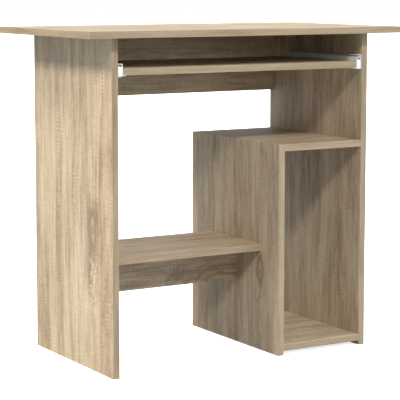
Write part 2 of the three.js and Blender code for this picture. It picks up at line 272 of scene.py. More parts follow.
# %% Sawn oak
OAK_TONES = ((140, 119, 95), (160, 139, 113), (177, 157, 130), (190, 171, 143), (203, 186, 159))
OAK = [paint(*tone) for tone in OAK_TONES]
PALE_FLECK = paint(214, 201, 177)
PINK_TINT = (1.0, 0.962, 0.935, 1.0)
OLIVE_TINT = (0.955, 0.975, 0.94, 1.0)
BAR_SPACING = 8.5 * MILLIMETRE
KNOT_OFFSET = 1.5
PRINT_STEP = 3.71


def sawn_oak_group():
    """The printed oak: colour, relief and roughness."""
    inputs = {
        "Grain": ORIGIN,
        "Board": 0.0,
        "Through": 1.0,
        "Stave": 0.034,
        "Contrast": 1.0,
        "Flecks": 1.0,
        "Figure": ORIGIN,
        "Figure Size": (1.0, 1.0, 1.0),
        "Figure Strength": 0.0,
        "Rings": 15.0,
        "Knots": 0.0,
    }
    tree, given, result = shader_group("sawn oak", inputs, "Color", "Height", "Roughness")
    parts = split(tree, given["Grain"])
    shift = product(tree, given["Board"], PRINT_STEP)
    along = parts[0]
    moved = total(tree, along, shift)
    through = product(tree, parts[2], given["Through"])
    straight = total(tree, parts[1], through)

    def spot(per_along, side, per_across, deep):
        """A place to read noise at: its waves for each metre along the grain, and across it."""
        return vector(tree, product(tree, moved, per_along), product(tree, side, per_across), deep)

    # The staves wander a little from side to side, as a sawn trunk does.
    sway = noise(tree, spot(1.3, straight, 5.0, shift), detail=1.0)
    across = maths(tree, "MULTIPLY_ADD", centred(tree, sway), 0.020, straight)
    lane = total(tree, maths(tree, "DIVIDE", across, given["Stave"]), shift)
    staves = node(tree, "ShaderNodeTexVoronoi", {"W": lane, "Scale": 1.0, "Smoothness": 0.5},
                  voronoi_dimensions="1D", feature="SMOOTH_F1")
    stave = node(tree, "ShaderNodeSeparateColor", {0: staves.outputs["Color"]}).outputs

    def lines(per_along, per_across, detail, offset=0.0):
        """Noise stretched along the grain: its number of waves for each metre along and across."""
        start = maths(tree, "MULTIPLY_ADD", moved, per_along, product(tree, stave[1], offset))
        place = vector(tree, start, product(tree, across, per_across), product(tree, through, per_across))
        return noise(tree, place, detail=detail, roughness=0.6)

    broad = smooth(tree, lines(4.2, 34.0, 3.0, 1.5), 0.32, 0.68)
    fine = smooth(tree, lines(13.0, 190.0, 3.0, 3.0), 0.30, 0.70)
    streak = smooth(tree, lines(5.5, 62.0, 1.0, 6.0), 0.60, 0.74)
    pores = smooth(tree, lines(38.0, 1500.0, 2.0), 0.60, 0.76)
    cloud = noise(tree, spot(6.0, straight, 13.0, shift), detail=3.0)

    # The flame figure is a set of long nested ovals where the trunk was cut near its face.
    away = vector_maths(tree, "SUBTRACT", vector(tree, along, straight, 0.0), given["Figure"])
    scaled = vector_maths(tree, "DIVIDE", away, given["Figure Size"])
    reach = vector_maths(tree, "LENGTH", scaled)
    twist = noise(tree, spot(16.0, across, 38.0, 0.0), detail=3.0)
    ring = maths(tree, "MULTIPLY_ADD", centred(tree, twist), 0.9, reach)
    inside = product(tree, smooth(tree, ring, 0.62, 1.0, 1.0, 0.0), given["Figure Strength"])
    flame = smooth(tree, maths(tree, "SINE", product(tree, ring, given["Rings"])), 0.0, 1.0)

    # Beyond the end of the flame the fibres curl round a knot, and the print shows that as pale loops.
    knot = vector_maths(tree, "LENGTH", vector_maths(tree, "ADD", scaled, (KNOT_OFFSET, 0.0, 0.0)))
    knot = product(tree, smooth(tree, knot, 0.55, 1.0, 1.0, 0.0), given["Knots"])
    curl = noise(tree, spot(26.0, across, 44.0, 0.0), detail=1.0, distortion=1.3)
    squiggle = smooth(tree, maths(tree, "ABSOLUTE", centred(tree, curl)), 0.0, 0.05, 1.0, 0.0)
    squiggle = product(tree, squiggle, knot)

    # The saw left flecks across the grain, in patches.
    patch = noise(tree, spot(8.0, across, 26.0, 3.0), detail=1.0)
    patch = smooth(tree, patch, 0.57, 0.72)
    jitter = noise(tree, spot(45.0, across, 24.0, shift), detail=2.0)
    beat = maths(tree, "MULTIPLY_ADD", moved, 2 * math.pi / BAR_SPACING, product(tree, jitter, 6.0))
    bars = smooth(tree, maths(tree, "SINE", beat), -0.3, 1.0)
    fleck = product(tree, bars, patch, smooth(tree, jitter, 0.30, 0.55), given["Flecks"])
    teeth = noise(tree, spot(260.0, across, 60.0, shift), detail=1.0)
    teeth = product(tree, centred(tree, teeth), given["Flecks"])

    tone = total(
        tree,
        product(tree, stave[0], 0.22),
        product(tree, broad, 0.44),
        product(tree, fine, 0.38),
        product(tree, streak, -0.26),
        product(tree, centred(tree, cloud), 0.50),
        product(tree, teeth, 0.44),
        product(tree, inside, -0.20),
        product(tree, inside, flame, -0.40),
        product(tree, knot, -0.16),
    )
    tone = maths(tree, "MULTIPLY_ADD", centred(tree, tone), given["Contrast"], 0.5, clamp=True)
    colour = ramp(tree, tone, OAK)
    tint = blend(tree, smooth(tree, stave[2], 0.25, 0.75), PINK_TINT, OLIVE_TINT)
    colour = blend(tree, 0.75, colour, blend(tree, 1.0, colour, tint, "MULTIPLY"))
    colour = blend(tree, product(tree, pores, 0.22), colour, OAK[0])
    pale = maths(tree, "MULTIPLY_ADD", fleck, 0.34, product(tree, squiggle, 0.8), clamp=True)
    colour = blend(tree, pale, colour, PALE_FLECK)

    height = total(
        tree,
        product(tree, fine, 0.45),
        product(tree, pores, -0.8),
        product(tree, teeth, 0.5),
        product(tree, fleck, 0.35),
    )
    rough = total(tree, 0.50, product(tree, pores, 0.14), product(tree, fleck, -0.06))
    rough = maths(tree, "MULTIPLY_ADD", broad, -0.05, rough)
    feed(tree, result["Color"], colour)
    feed(tree, result["Height"], height)
    feed(tree, result["Roughness"], rough)
    return tree


sawn_oak = sawn_oak_group()
print("sawn oak has", len(sawn_oak.nodes), "nodes")

# %% [markdown]
# ## The raw core
#
# Only the edges that are meant to be seen have a band. A back edge or the foot of a panel shows the
# pressed chips themselves, a few millimetres across and in many shades. Voronoi cells make good chips,
# because each cell has one flat colour.

# %% Pressed chips
CHIPS = [paint(138, 112, 82), paint(174, 146, 110), paint(196, 170, 134), paint(212, 190, 156)]
CHIPS_PER_METRE = 420.0
CHIP_WARP = 4 * MILLIMETRE


def pressed_chips_group():
    """Raw chipboard: colour and relief."""
    tree, given, result = shader_group("pressed chips", {"Place": ORIGIN}, "Color", "Height")
    wobble = node(tree, "ShaderNodeTexNoise", {"Vector": given["Place"], "Scale": 300.0, "Detail": 2.0})
    warped = vector_maths(tree, "MULTIPLY_ADD", wobble.outputs["Color"], [CHIP_WARP] * 3, given["Place"])
    cells = node(tree, "ShaderNodeTexVoronoi", {"Vector": warped, "Scale": CHIPS_PER_METRE})
    shade = node(tree, "ShaderNodeSeparateColor", {0: cells.outputs["Color"]}).outputs
    dust = noise(tree, given["Place"], scale=1500.0, detail=2.0)
    tone = maths(tree, "MULTIPLY_ADD", shade[0], 0.7, product(tree, dust, 0.35))
    feed(tree, result["Color"], ramp(tree, tone, CHIPS))
    feed(tree, result["Height"], maths(tree, "MULTIPLY_ADD", shade[1], 0.7, product(tree, dust, 0.4)))
    return tree


pressed_chips = pressed_chips_group()

# %% [markdown]
# ## Where a box is worn, and where it was cut
#
# Both masks follow from one fact: how far a point is from the planes of the board's own box. Next to one
# plane is a face. Next to two planes is an arris, which hands and sleeves rub, so the middle one of the
# three distances is small there. Next to a plane that has no band is a cut edge.

# %% Rubbed arrises and cut faces
BOX_INPUTS = {"Place": ORIGIN, "Low": ORIGIN, "High": (1.0, 1.0, 1.0)}
CUT_SKIN = 0.25 * MILLIMETRE


def plane_distances(tree, place, low, high):
    """How far a point is from the nearest plane of the box, along each axis."""
    from_low = vector_maths(tree, "SUBTRACT", place, low)
    from_high = vector_maths(tree, "SUBTRACT", high, place)
    return split(tree, vector_maths(tree, "MINIMUM", from_low, from_high))


def rubbed_arris_group():
    """Broken wear along the arrises of a box."""
    inputs = {**BOX_INPUTS, "Width": 1.2 * MILLIMETRE}
    tree, given, result = shader_group("rubbed arris", inputs, "Mask")
    x, y, z = plane_distances(tree, given["Place"], given["Low"], given["High"])
    least = maths(tree, "MINIMUM", x, y)
    most = maths(tree, "MAXIMUM", x, y)
    middle = maths(tree, "MAXIMUM", least, maths(tree, "MINIMUM", most, z))
    line = maths(tree, "SUBTRACT", 1.0, maths(tree, "DIVIDE", middle, given["Width"]), clamp=True)
    broken = smooth(tree, noise(tree, given["Place"], scale=46.0, detail=4.0), 0.40, 0.62, 0.25, 1.0)
    feed(tree, result["Mask"], product(tree, line, broken))
    return tree


def cut_face_group():
    """1 on the faces of a box that were cut and left bare, one switch for each low and high plane."""
    inputs = {**BOX_INPUTS, "Bare Low": ORIGIN, "Bare High": ORIGIN}
    tree, given, result = shader_group("cut face", inputs, "Mask")
    mask = 0.0
    for side, first, second in (("Bare Low", "Place", "Low"), ("Bare High", "High", "Place")):
        gaps = split(tree, vector_maths(tree, "SUBTRACT", given[first], given[second]))
        for distance, switch in zip(gaps, split(tree, given[side])):
            touching = maths(tree, "LESS_THAN", distance, CUT_SKIN)
            mask = maths(tree, "MAXIMUM", mask, product(tree, touching, switch))
    feed(tree, result["Mask"], mask)
    return tree


rubbed_arris = rubbed_arris_group()
cut_face = cut_face_group()

# %% [markdown]
# ## Handling
#
# No surface in a used room has one even gloss. Hands, dust and a damp cloth leave soft clouds in it, which
# a light picks up before the eye sees any dirt. One group gives every material that unevenness.

# %% Handling
def handling_group():
    """Soft clouds of dust and wiped patches: how much to add to the roughness, and a faint dirt mask."""
    inputs = {"Place": ORIGIN, "Amount": 0.08}
    tree, given, result = shader_group("handling", inputs, "Roughness", "Dirt")
    clouds = noise(tree, given["Place"], scale=9.0, detail=4.0, roughness=0.6)
    wipes = noise(tree, given["Place"], scale=70.0, detail=2.0)
    uneven = maths(tree, "MULTIPLY_ADD", wipes, 0.35, product(tree, clouds, 0.65))
    feed(tree, result["Roughness"], product(tree, centred(tree, uneven), given["Amount"], 2.0))
    feed(tree, result["Dirt"], smooth(tree, clouds, 0.50, 0.78))
    return tree


handling = handling_group()

# %% [markdown]
# ## A board and its material
#
# Each board has its own material, because the printed pattern starts at a different place on each and
# the wear follows the board's own box. They all share the groups above. A Mapping node turns the grain
# upright on the panels that stand, and heart is the point of the desk where a flame figure is centred.

# %% Board material
UPRIGHT = (0.0, math.pi / 2, 0.0)
LYING = (0.0, 0.0, 0.0)
NO_FACE = (0, 0, 0)
FULL = (1.0, 1.0, 1.0, 1.0)
RUB_COLOUR = paint(226, 211, 184)
DIRT_COLOUR = paint(120, 102, 80)


def grain_point(point, turn):
    """Where a point of the desk lies in the grain space: along the grain, and across it."""
    x, y, z = point
    along, deep = (z, -x) if turn == UPRIGHT else (x, z)
    return along, y + deep, 0.0


def oak_material(name, low, high, number, turn=LYING, bare_low=NO_FACE, bare_high=NO_FACE, shade=FULL,
                 heart=None, **pattern):
    """Printed oak for a board or a band. What pattern holds goes to the sawn oak group, by name."""
    material, tree, shader, place = new_material(name)
    grain = node(tree, "ShaderNodeMapping", {"Vector": place, "Rotation": turn}).outputs[0]
    if heart:
        pattern["Figure"] = grain_point(heart, turn)
    oak = use(tree, sawn_oak, Grain=grain, Board=float(number), **pattern)
    chips = use(tree, pressed_chips, Place=place)
    box = {"Place": place, "Low": low, "High": high}
    bare = use(tree, cut_face, **box, Bare_Low=bare_low, Bare_High=bare_high)["Mask"]
    rubbed = use(tree, rubbed_arris, **box)["Mask"]
    touch = use(tree, handling, Place=place, Amount=0.07)
    colour = blend(tree, 1.0, oak["Color"], shade, "MULTIPLY")
    colour = blend(tree, product(tree, rubbed, 0.30), colour, RUB_COLOUR)
    colour = blend(tree, product(tree, touch["Dirt"], 0.06), colour, DIRT_COLOUR)
    colour = blend(tree, bare, colour, chips["Color"])
    rough = total(tree, oak["Roughness"], touch["Roughness"], product(tree, bare, 0.35))
    rough = maths(tree, "MULTIPLY_ADD", rubbed, 0.06, rough)
    height = maths(tree, "MULTIPLY_ADD", product(tree, chips["Height"], 3.0), bare, oak["Height"])
    coat(tree, shader, colour, rough, height, 0.12 * MILLIMETRE)
    return material


# %% [markdown]
# ## Making a board
#
# A sawn board has no perfectly sharp arris: the face sheet is trimmed and scraped after pressing, which
# leaves an edge of a few tenths of a millimetre that catches the light. So each board is a clean copy of
# the frame's solid, with its loose triangles merged and its flat faces joined again, and a small Bevel.

# %% Copying a solid of the frame
SAME_POINT = 0.002 * MILLIMETRE
SAME_PLANE = math.radians(0.4)


def clean_copy(node_name, piece_name):
    """A new object with the frame's solid, merged and with its flat faces joined."""
    mesh = frame["nodes"][node_name].data.copy()
    mesh.materials.clear()
    for attribute in list(mesh.attributes):
        if attribute.name == "custom_normal":
            mesh.attributes.remove(attribute)
    work = bmesh.new()
    work.from_mesh(mesh)
    bmesh.ops.remove_doubles(work, verts=work.verts, dist=SAME_POINT)
    bmesh.ops.dissolve_limit(work, angle_limit=SAME_PLANE, verts=work.verts, edges=work.edges)
    bmesh.ops.recalc_face_normals(work, faces=work.faces)
    for face in work.faces:
        face.smooth = False
    work.to_mesh(mesh)
    work.free()
    mesh.name = piece_name
    return new_object(piece_name, mesh)


def round_edges(piece, width, segments=2, angle=30.0):
    """A live Bevel on the sharp edges."""
    soft = piece.modifiers.new("rounded arrises", "BEVEL")
    soft.width = width
    soft.segments = segments
    soft.limit_method = "ANGLE"
    soft.angle_limit = math.radians(angle)


def fit(piece, material, slot, *nodes):
    """Gives a piece its material and body, and lets it stand for its nodes."""
    piece.data.materials.clear()
    piece.data.materials.append(material)
    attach(piece, body_of_node[nodes[0]])
    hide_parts(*nodes)


# %% The ten boards
ARRIS = 0.45 * MILLIMETRE
BACK = (0, 1, 0)
FOOT = (0, 0, 1)
BACK_AND_TOP = (0, 1, 1)

BOARDS = {
    "desktop": dict(Stave=0.040, heart=(0.12, 0.06, 0.74), Figure_Size=(0.24, 0.028, 1.0),
                    Figure_Strength=0.55),
    "left_side_panel": dict(turn=UPRIGHT, bare_low=FOOT, bare_high=BACK_AND_TOP, Stave=0.036,
                            heart=(-0.33, -0.100, 0.31), Figure_Size=(0.080, 0.026, 1.0),
                            Figure_Strength=1.0, Knots=0.9),
    "right_side_panel": dict(turn=UPRIGHT, bare_low=FOOT, bare_high=BACK_AND_TOP, heart=(0.33, 0.05, 0.36),
                             Figure_Size=(0.16, 0.026, 1.0), Figure_Strength=0.4),
    "divider_panel": dict(turn=UPRIGHT, bare_low=FOOT, bare_high=BACK, heart=(0.09, -0.114, 0.185),
                          Figure_Size=(0.050, 0.022, 1.0), Figure_Strength=1.2, Knots=0.6),
    "compartment_top": dict(bare_high=BACK),
    "compartment_floor": dict(bare_high=BACK),
    "foot_shelf": dict(bare_high=BACK, Stave=0.030),
    "foot_rail": dict(bare_low=FOOT, heart=(0.05, -0.015, 0.150), Figure_Size=(0.17, 0.055, 1.0),
                      Figure_Strength=1.05, Rings=26.0),
    "rear_rail": dict(bare_low=FOOT, Stave=0.030, heart=(-0.1, 0.19, 0.65), Figure_Size=(0.20, 0.03, 1.0),
                      Figure_Strength=0.5),
    "keyboard_tray": dict(bare_high=BACK, Stave=0.032),
}

for number, (name, look) in enumerate(BOARDS.items(), start=1):
    low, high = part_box(name)
    board = clean_copy(name, name + "_board")
    round_edges(board, ARRIS)
    fit(board, oak_material(name + " oak", low, high, number, **look), "oak_board", name)
    print(name, "is", [round((h - l) * 1000, 1) for l, h in zip(low, high)], "mm")

# %% [markdown]
# ## Edge bands
#
# A band is a thin strip of the same print, glued on and trimmed flush, so its grain runs along the edge
# and is calmer than on the face. It is a separate piece here, as it is on the bench: the two rounded
# arrises leave the fine joint line that gives a banded edge away.

# %% The eight bands
BAND_NUMBERS = 21
BAND_ARRIS = 0.3 * MILLIMETRE
BAND_SHADE = (0.73, 0.71, 0.66, 1.0)
ROUND_THE_TOP = Matrix.Rotation(math.pi / 2, 3, "X") @ Matrix.Rotation(-math.pi / 4, 3, "Z")
BANDS = {
    "desktop_edge_band": dict(turn=tuple(ROUND_THE_TOP.to_euler()), Through=0.0),
    "left_side_edge_band": dict(turn=UPRIGHT),
    "right_side_edge_band": dict(turn=UPRIGHT),
    "divider_edge_band": dict(turn=UPRIGHT),
    "compartment_top_edge_band": dict(),
    "compartment_floor_edge_band": dict(),
    "foot_shelf_edge_band": dict(),
    "keyboard_tray_edge_band": dict(),
}

for number, (name, look) in enumerate(BANDS.items(), start=BAND_NUMBERS):
    low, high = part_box(name)
    strip = clean_copy(name, name + "_strip")
    round_edges(strip, BAND_ARRIS)
    material = oak_material(name + " oak", low, high, number, shade=BAND_SHADE, Stave=0.021, Contrast=0.7,
                            Flecks=0.1, **look)
    fit(strip, material, "edge_band", name)
print(len(BANDS), "bands")

# %% [markdown]
# ## The slides
#
# The tray runs on the plainest kind of slide: a channel of folded sheet steel screwed to each side, an
# angle under the tray, and one nylon wheel on each. The sheet is powder coated. The coat rounds every
# cut edge, so the Bevel is generous for a sheet just over a millimetre thick. Its skin has the faint
# orange peel of powder, and the wheels leave grey scuffs along the flanges that they run on.

# %% White powder coat
ENAMEL = paint(236, 235, 231)
ENAMEL_WORN = paint(176, 176, 174)
HANDS = ("left", "right")


def enamel_material():
    """White powder coat on steel."""
    material, tree, shader, place = new_material("white powder coat", IOR=1.5)
    peel = noise(tree, place, scale=900.0, detail=1.0)
    grit = smooth(tree, noise(tree, place, scale=2400.0, detail=2.0), 0.66, 0.78)
    along = node(tree, "ShaderNodeMapping", {"Vector": place, "Scale": (900.0, 12.0, 900.0)}).outputs[0]
    scuffs = smooth(tree, noise(tree, along, detail=3.0), 0.56, 0.72)
    touch = use(tree, handling, Place=place, Amount=0.09)
    colour = blend(tree, product(tree, scuffs, 0.35), ENAMEL, ENAMEL_WORN)
    colour = blend(tree, product(tree, touch["Dirt"], 0.10), colour, DIRT_COLOUR)
    colour = blend(tree, product(tree, grit, 0.15), colour, ENAMEL_WORN)
    rough = total(tree, 0.34, touch["Roughness"], product(tree, scuffs, 0.15))
    height = maths(tree, "MULTIPLY_ADD", scuffs, -0.2, peel)
    coat(tree, shader, colour, rough, height, 0.05 * MILLIMETRE)
    return material


enamel = enamel_material()
for hand in HANDS:
    for kind in ("cabinet", "tray"):
        name = f"{hand}_{kind}_rail"
        rail = clean_copy(name, name + "_channel")
        round_edges(rail, 0.38 * MILLIMETRE, segments=3, angle=20.0)
        fit(rail, enamel, "enamelled_steel", name)
        print(rail.name, "has", len(rail.data.polygons), "faces")

# %% [markdown]
# ## Fasteners and wheels that repeat
#
# The desk holds 42 small parts of seven shapes, so Geometry Nodes make them. One point stands
# for each part and carries the way it faces. The tree builds the part once from rods and bars, puts a
# copy on every point, gives each its own turn about its axis, and makes the copies real. A tool that cuts
# runs a little past the surface, because two faces in one plane confuse a boolean.

# %% Tree helpers
PAST = 0.5 * MILLIMETRE


def shape_tree(name, sizes):
    """A geometry tree with named sizes, a seed and a material: the tree and its input sockets."""
    tree = bpy.data.node_groups.new(name, "GeometryNodeTree")
    face = tree.interface
    face.new_socket("Points", in_out="INPUT", socket_type="NodeSocketGeometry")
    for label, value in sizes.items():
        face.new_socket(label, in_out="INPUT", socket_type="NodeSocketFloat").default_value = value
    face.new_socket("Turn Seed", in_out="INPUT", socket_type="NodeSocketInt").default_value = 4
    face.new_socket("Material", in_out="INPUT", socket_type="NodeSocketMaterial")
    face.new_socket("Parts", in_out="OUTPUT", socket_type="NodeSocketGeometry")
    return tree, tree.nodes.new("NodeGroupInput").outputs


def put(tree, shape, x=0.0, y=0.0, z=0.0):
    """Moves a shape."""
    sockets = {"Geometry": shape, "Translation": vector(tree, x, y, z)}
    return node(tree, "GeometryNodeTransform", sockets).outputs[0]


def rod(tree, radius, length, top=0.0, sides=24):
    """A round bar that hangs down from the height top."""
    sockets = {"Vertices": sides, "Radius": radius, "Depth": length}
    shape = node(tree, "GeometryNodeMeshCylinder", sockets, fill_type="NGON").outputs["Mesh"]
    return put(tree, shape, z=maths(tree, "MULTIPLY_ADD", length, -0.5, top))


def taper(tree, wide, narrow, length, top=0.0, sides=24):
    """A cone that hangs down from its wide top."""
    sockets = {"Vertices": sides, "Radius Top": wide, "Radius Bottom": narrow, "Depth": length}
    shape = node(tree, "GeometryNodeMeshCone", sockets, fill_type="NGON").outputs["Mesh"]
    return put(tree, shape, z=maths(tree, "SUBTRACT", top, length))


def combine(tree, operation, first, *others):
    """An exact boolean: DIFFERENCE cuts the others away, UNION joins them."""
    made = node(tree, "GeometryNodeMeshBoolean", operation=operation, solver="EXACT")
    many = made.inputs["Mesh 2"]
    if operation == "DIFFERENCE":
        feed(tree, made.inputs["Mesh 1"], first)
    else:
        feed(tree, many, first)
    for other in others:
        feed(tree, many, other)
    return made.outputs["Mesh"]


def cross(tree, long, wide, depth):
    """The tool that sinks a cross recess into the face at the origin."""
    bars = []
    for x, y in ((long, wide), (wide, long)):
        size = vector(tree, x, y, depth + PAST)
        bar = node(tree, "GeometryNodeMeshCube", {"Size": size}).outputs["Mesh"]
        bars.append(put(tree, bar, z=(PAST - depth) / 2))
    return combine(tree, "UNION", *bars)


def plant(tree, given, shape, spin):
    """Ends a tree: the shape on every point, facing its way and turned by up to spin, and made real."""
    way = node(tree, "GeometryNodeInputNamedAttribute", {"Name": "way"}, data_type="FLOAT_VECTOR").outputs[0]
    facing = node(tree, "FunctionNodeAlignRotationToVector", {"Vector": way}, axis="Z").outputs[0]
    sockets = {2: 0.0, 3: spin, "Seed": given["Turn Seed"]}
    chance = node(tree, "FunctionNodeRandomValue", sockets, data_type="FLOAT")
    about_axis = vector(tree, 0.0, 0.0, chance.outputs[1])
    own_turn = node(tree, "FunctionNodeEulerToRotation", {0: about_axis}).outputs[0]
    turned = node(tree, "FunctionNodeRotateRotation", {0: facing, 1: own_turn}, rotation_space="LOCAL")
    sockets = {"Points": given["Points"], "Instance": shape, "Rotation": turned.outputs[0]}
    copies = node(tree, "GeometryNodeInstanceOnPoints", sockets).outputs[0]
    real = node(tree, "GeometryNodeRealizeInstances", {0: copies}).outputs[0]
    dressed = node(tree, "GeometryNodeSetMaterial", {"Geometry": real, "Material": given["Material"]})
    tree.links.new(dressed.outputs[0], tree.nodes.new("NodeGroupOutput").inputs[0])
    return tree


# %% From points to plain meshes
def make_parts(name, tree, places, sizes, material):
    """One plain mesh with a part at every place, which is a point and the way the part faces."""
    mesh = bpy.data.meshes.new(name)
    mesh.from_pydata([tuple(point) for point, way in places], [], [])
    ways = mesh.attributes.new("way", "FLOAT_VECTOR", "POINT")
    ways.data.foreach_set("vector", [value for point, way in places for value in way])
    holder = new_object(name, mesh)
    repeat = holder.modifiers.new("repeat", "NODES")
    repeat.node_group = tree
    wanted = {**sizes, "Material": material}
    for item in tree.interface.items_tree:
        if item.item_type == "SOCKET" and item.in_out == "INPUT" and item.name in wanted:
            repeat[item.identifier] = wanted[item.name]
    evaluated = holder.evaluated_get(bpy.context.evaluated_depsgraph_get())
    plain = bpy.data.meshes.new_from_object(evaluated)
    holder.modifiers.remove(repeat)
    holder.data = plain
    print(name, "has", len(places), "parts and", len(plain.polygons), "faces")
    return holder


def face_centre(name, way):
    """The middle of the side of a node's box that looks the given way."""
    low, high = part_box(name)
    middle = (low + high) / 2
    half = (high - low) / 2
    return middle + Vector(half[axis] * way[axis] for axis in range(3))


def places_of(names, way_of):
    """For each node, where its part is planted and the way that it faces."""
    return [(face_centre(name, way_of(name)), way_of(name)) for name in names]


TOWARDS_RIGHT = (1.0, 0.0, 0.0)
TOWARDS_LEFT = (-1.0, 0.0, 0.0)
BACKWARDS = (0.0, 1.0, 0.0)
UPWARDS = (0.0, 0.0, 1.0)
DOWNWARDS = (0.0, 0.0, -1.0)
INWARDS = {"left": TOWARDS_RIGHT, "right": TOWARDS_LEFT}
OUTWARDS = {"left": TOWARDS_LEFT, "right": TOWARDS_RIGHT}


def hand_way(name, ways):
    """The way for the hand, left or right, that a node's name starts with."""
    return ways[name.split("_")[0]]


# %% [markdown]
# ## Metals and nylon
#
# The screws and rivets are zinc plated: pale, slightly blue and brushed by the driver. The cams are die
# cast, which is duller and grainy. Nylon wheels are off white with a soft, waxy gloss.

# %% Metal, nylon and beech
def metal_material(name, dark, light, grain_scale, rough, relief):
    """A plated or cast metal with grain, rubbed spots and tarnish."""
    material, tree, shader, place = new_material(name, Metallic=1.0)
    grain = noise(tree, place, scale=grain_scale, detail=3.0, roughness=0.6)
    spots = smooth(tree, noise(tree, place, scale=420.0, detail=3.0), 0.42, 0.64)
    touch = use(tree, handling, Place=place, Amount=0.10)
    colour = blend(tree, maths(tree, "MULTIPLY_ADD", spots, 0.7, product(tree, grain, 0.3)), dark, light)
    colour = blend(tree, product(tree, touch["Dirt"], 0.12), colour, DIRT_COLOUR)
    rough = total(tree, rough, product(tree, grain, 0.16), touch["Roughness"])
    coat(tree, shader, colour, rough, grain, relief)
    return material


def nylon_material():
    """Off-white nylon with moulding grain and grey soil."""
    plain = {"IOR": 1.53, "Subsurface_Weight": 0.12, "Subsurface_Scale": 0.002}
    material, tree, shader, place = new_material("nylon", **plain)
    grain = noise(tree, place, scale=1700.0, detail=2.0)
    soil = smooth(tree, noise(tree, place, scale=260.0, detail=4.0), 0.44, 0.70)
    touch = use(tree, handling, Place=place, Amount=0.08)
    colour = blend(tree, product(tree, soil, 0.5), paint(226, 224, 214), paint(176, 172, 160))
    colour = blend(tree, product(tree, grain, 0.15), colour, paint(240, 238, 230))
    rough = total(tree, 0.38, product(tree, soil, 0.18), touch["Roughness"])
    coat(tree, shader, colour, rough, grain, 0.03 * MILLIMETRE)
    return material


def beech_material():
    """Plain beech with its short dark flecks."""
    material, tree, shader, place = new_material("beech")
    run = node(tree, "ShaderNodeMapping", {"Vector": place, "Scale": (120.0, 1500.0, 1500.0)}).outputs[0]
    fibres = noise(tree, run, detail=3.0)
    rays = smooth(tree, noise(tree, run, scale=0.6, detail=1.0), 0.60, 0.72)
    touch = use(tree, handling, Place=place, Amount=0.06)
    colour = blend(tree, fibres, paint(204, 166, 124), paint(226, 194, 154))
    colour = blend(tree, product(tree, rays, 0.5), colour, paint(160, 116, 78))
    rough = total(tree, 0.6, product(tree, fibres, 0.15), touch["Roughness"])
    coat(tree, shader, colour, rough, fibres, 0.06 * MILLIMETRE)
    return material


PLATE = (paint(150, 152, 158), paint(214, 216, 220))
CAST = (paint(128, 128, 128), paint(188, 188, 186))
plated = metal_material("zinc plate", *PLATE, grain_scale=1900.0, rough=0.24, relief=0.02 * MILLIMETRE)
casting = metal_material("zinc casting", *CAST, grain_scale=1100.0, rough=0.38, relief=0.05 * MILLIMETRE)
nylon = nylon_material()
beech = beech_material()

# %% [markdown]
# ## Screws
#
# The rail screws are short chipboard screws with a countersunk head and a cross recess. Under the head
# the core is thinner than the thread, which is a stack of sharp collars here: at this size a stack reads
# as a thread, and it stays a light mesh.

# %% Screws
RECESS = dict(wide=0.6 * MILLIMETRE, depth=0.9 * MILLIMETRE)
THREAD_START = -3.0 * MILLIMETRE
THREAD_PITCH = 1.3 * MILLIMETRE
THREAD_TURNS = 6
COLLAR_HEIGHT = 0.6 * MILLIMETRE


def screw_tree():
    """A countersunk screw whose head is at the origin and whose shank hangs down."""
    sizes = {"Head Radius": 0.0025, "Core Radius": 0.0012, "Length": 0.012}
    tree, given = shape_tree("countersunk screw", sizes)
    wide, core = given["Head Radius"], given["Core Radius"]
    head = taper(tree, wide, core, product(tree, wide, 0.55))
    shank = rod(tree, core, given["Length"], sides=16)
    body = combine(tree, "UNION", head, shank)
    thread = [combine(tree, "DIFFERENCE", body, cross(tree, product(tree, wide, 1.15), **RECESS))]
    crest = product(tree, core, 1.22)
    for turn in range(THREAD_TURNS):
        top = THREAD_START - THREAD_PITCH * turn
        thread.append(taper(tree, crest, core, COLLAR_HEIGHT, top, sides=16))
    joined = node(tree, "GeometryNodeJoinGeometry")
    for piece in reversed(thread):
        tree.links.new(piece, joined.inputs[0])
    return plant(tree, given, joined.outputs[0], math.pi)


screws = screw_tree()
for kind, ways in (("cabinet", INWARDS), ("tray", None)):
    names = [f"{hand}_{kind}_rail_screw_{n}" for hand in HANDS for n in (1, 2)]
    places = places_of(names, lambda name: hand_way(name, ways) if ways else DOWNWARDS)
    parts = make_parts(f"{kind}_rail_screws", screws, places, {}, plated)
    round_edges(parts, 0.05 * MILLIMETRE, segments=1)
    fit(parts, plated, "plated_steel", *names)

# %% [markdown]
# ## Cams and their bolts
#
# A cam lock pulls two boards together: a bolt is driven into one, and a cast drum in the other turns
# through half a circle and grips the bolt's head. Only the drum's face shows, flush with the board, with
# its deep cross slot and the small arrow that says which way is open.

# %% Cams
DRIVER_SLOT = dict(wide=1.6 * MILLIMETRE, depth=2.5 * MILLIMETRE)
ARROW = {"Vertices": 3, "Radius": 1.2 * MILLIMETRE, "Depth": 1.2 * MILLIMETRE}
GROOVE_TOP = -4.0 * MILLIMETRE
GROOVE_WIDTH = 3.0 * MILLIMETRE
BOLT_COLLAR = 1.6 * MILLIMETRE
BOLT_HEAD = 2.5 * MILLIMETRE


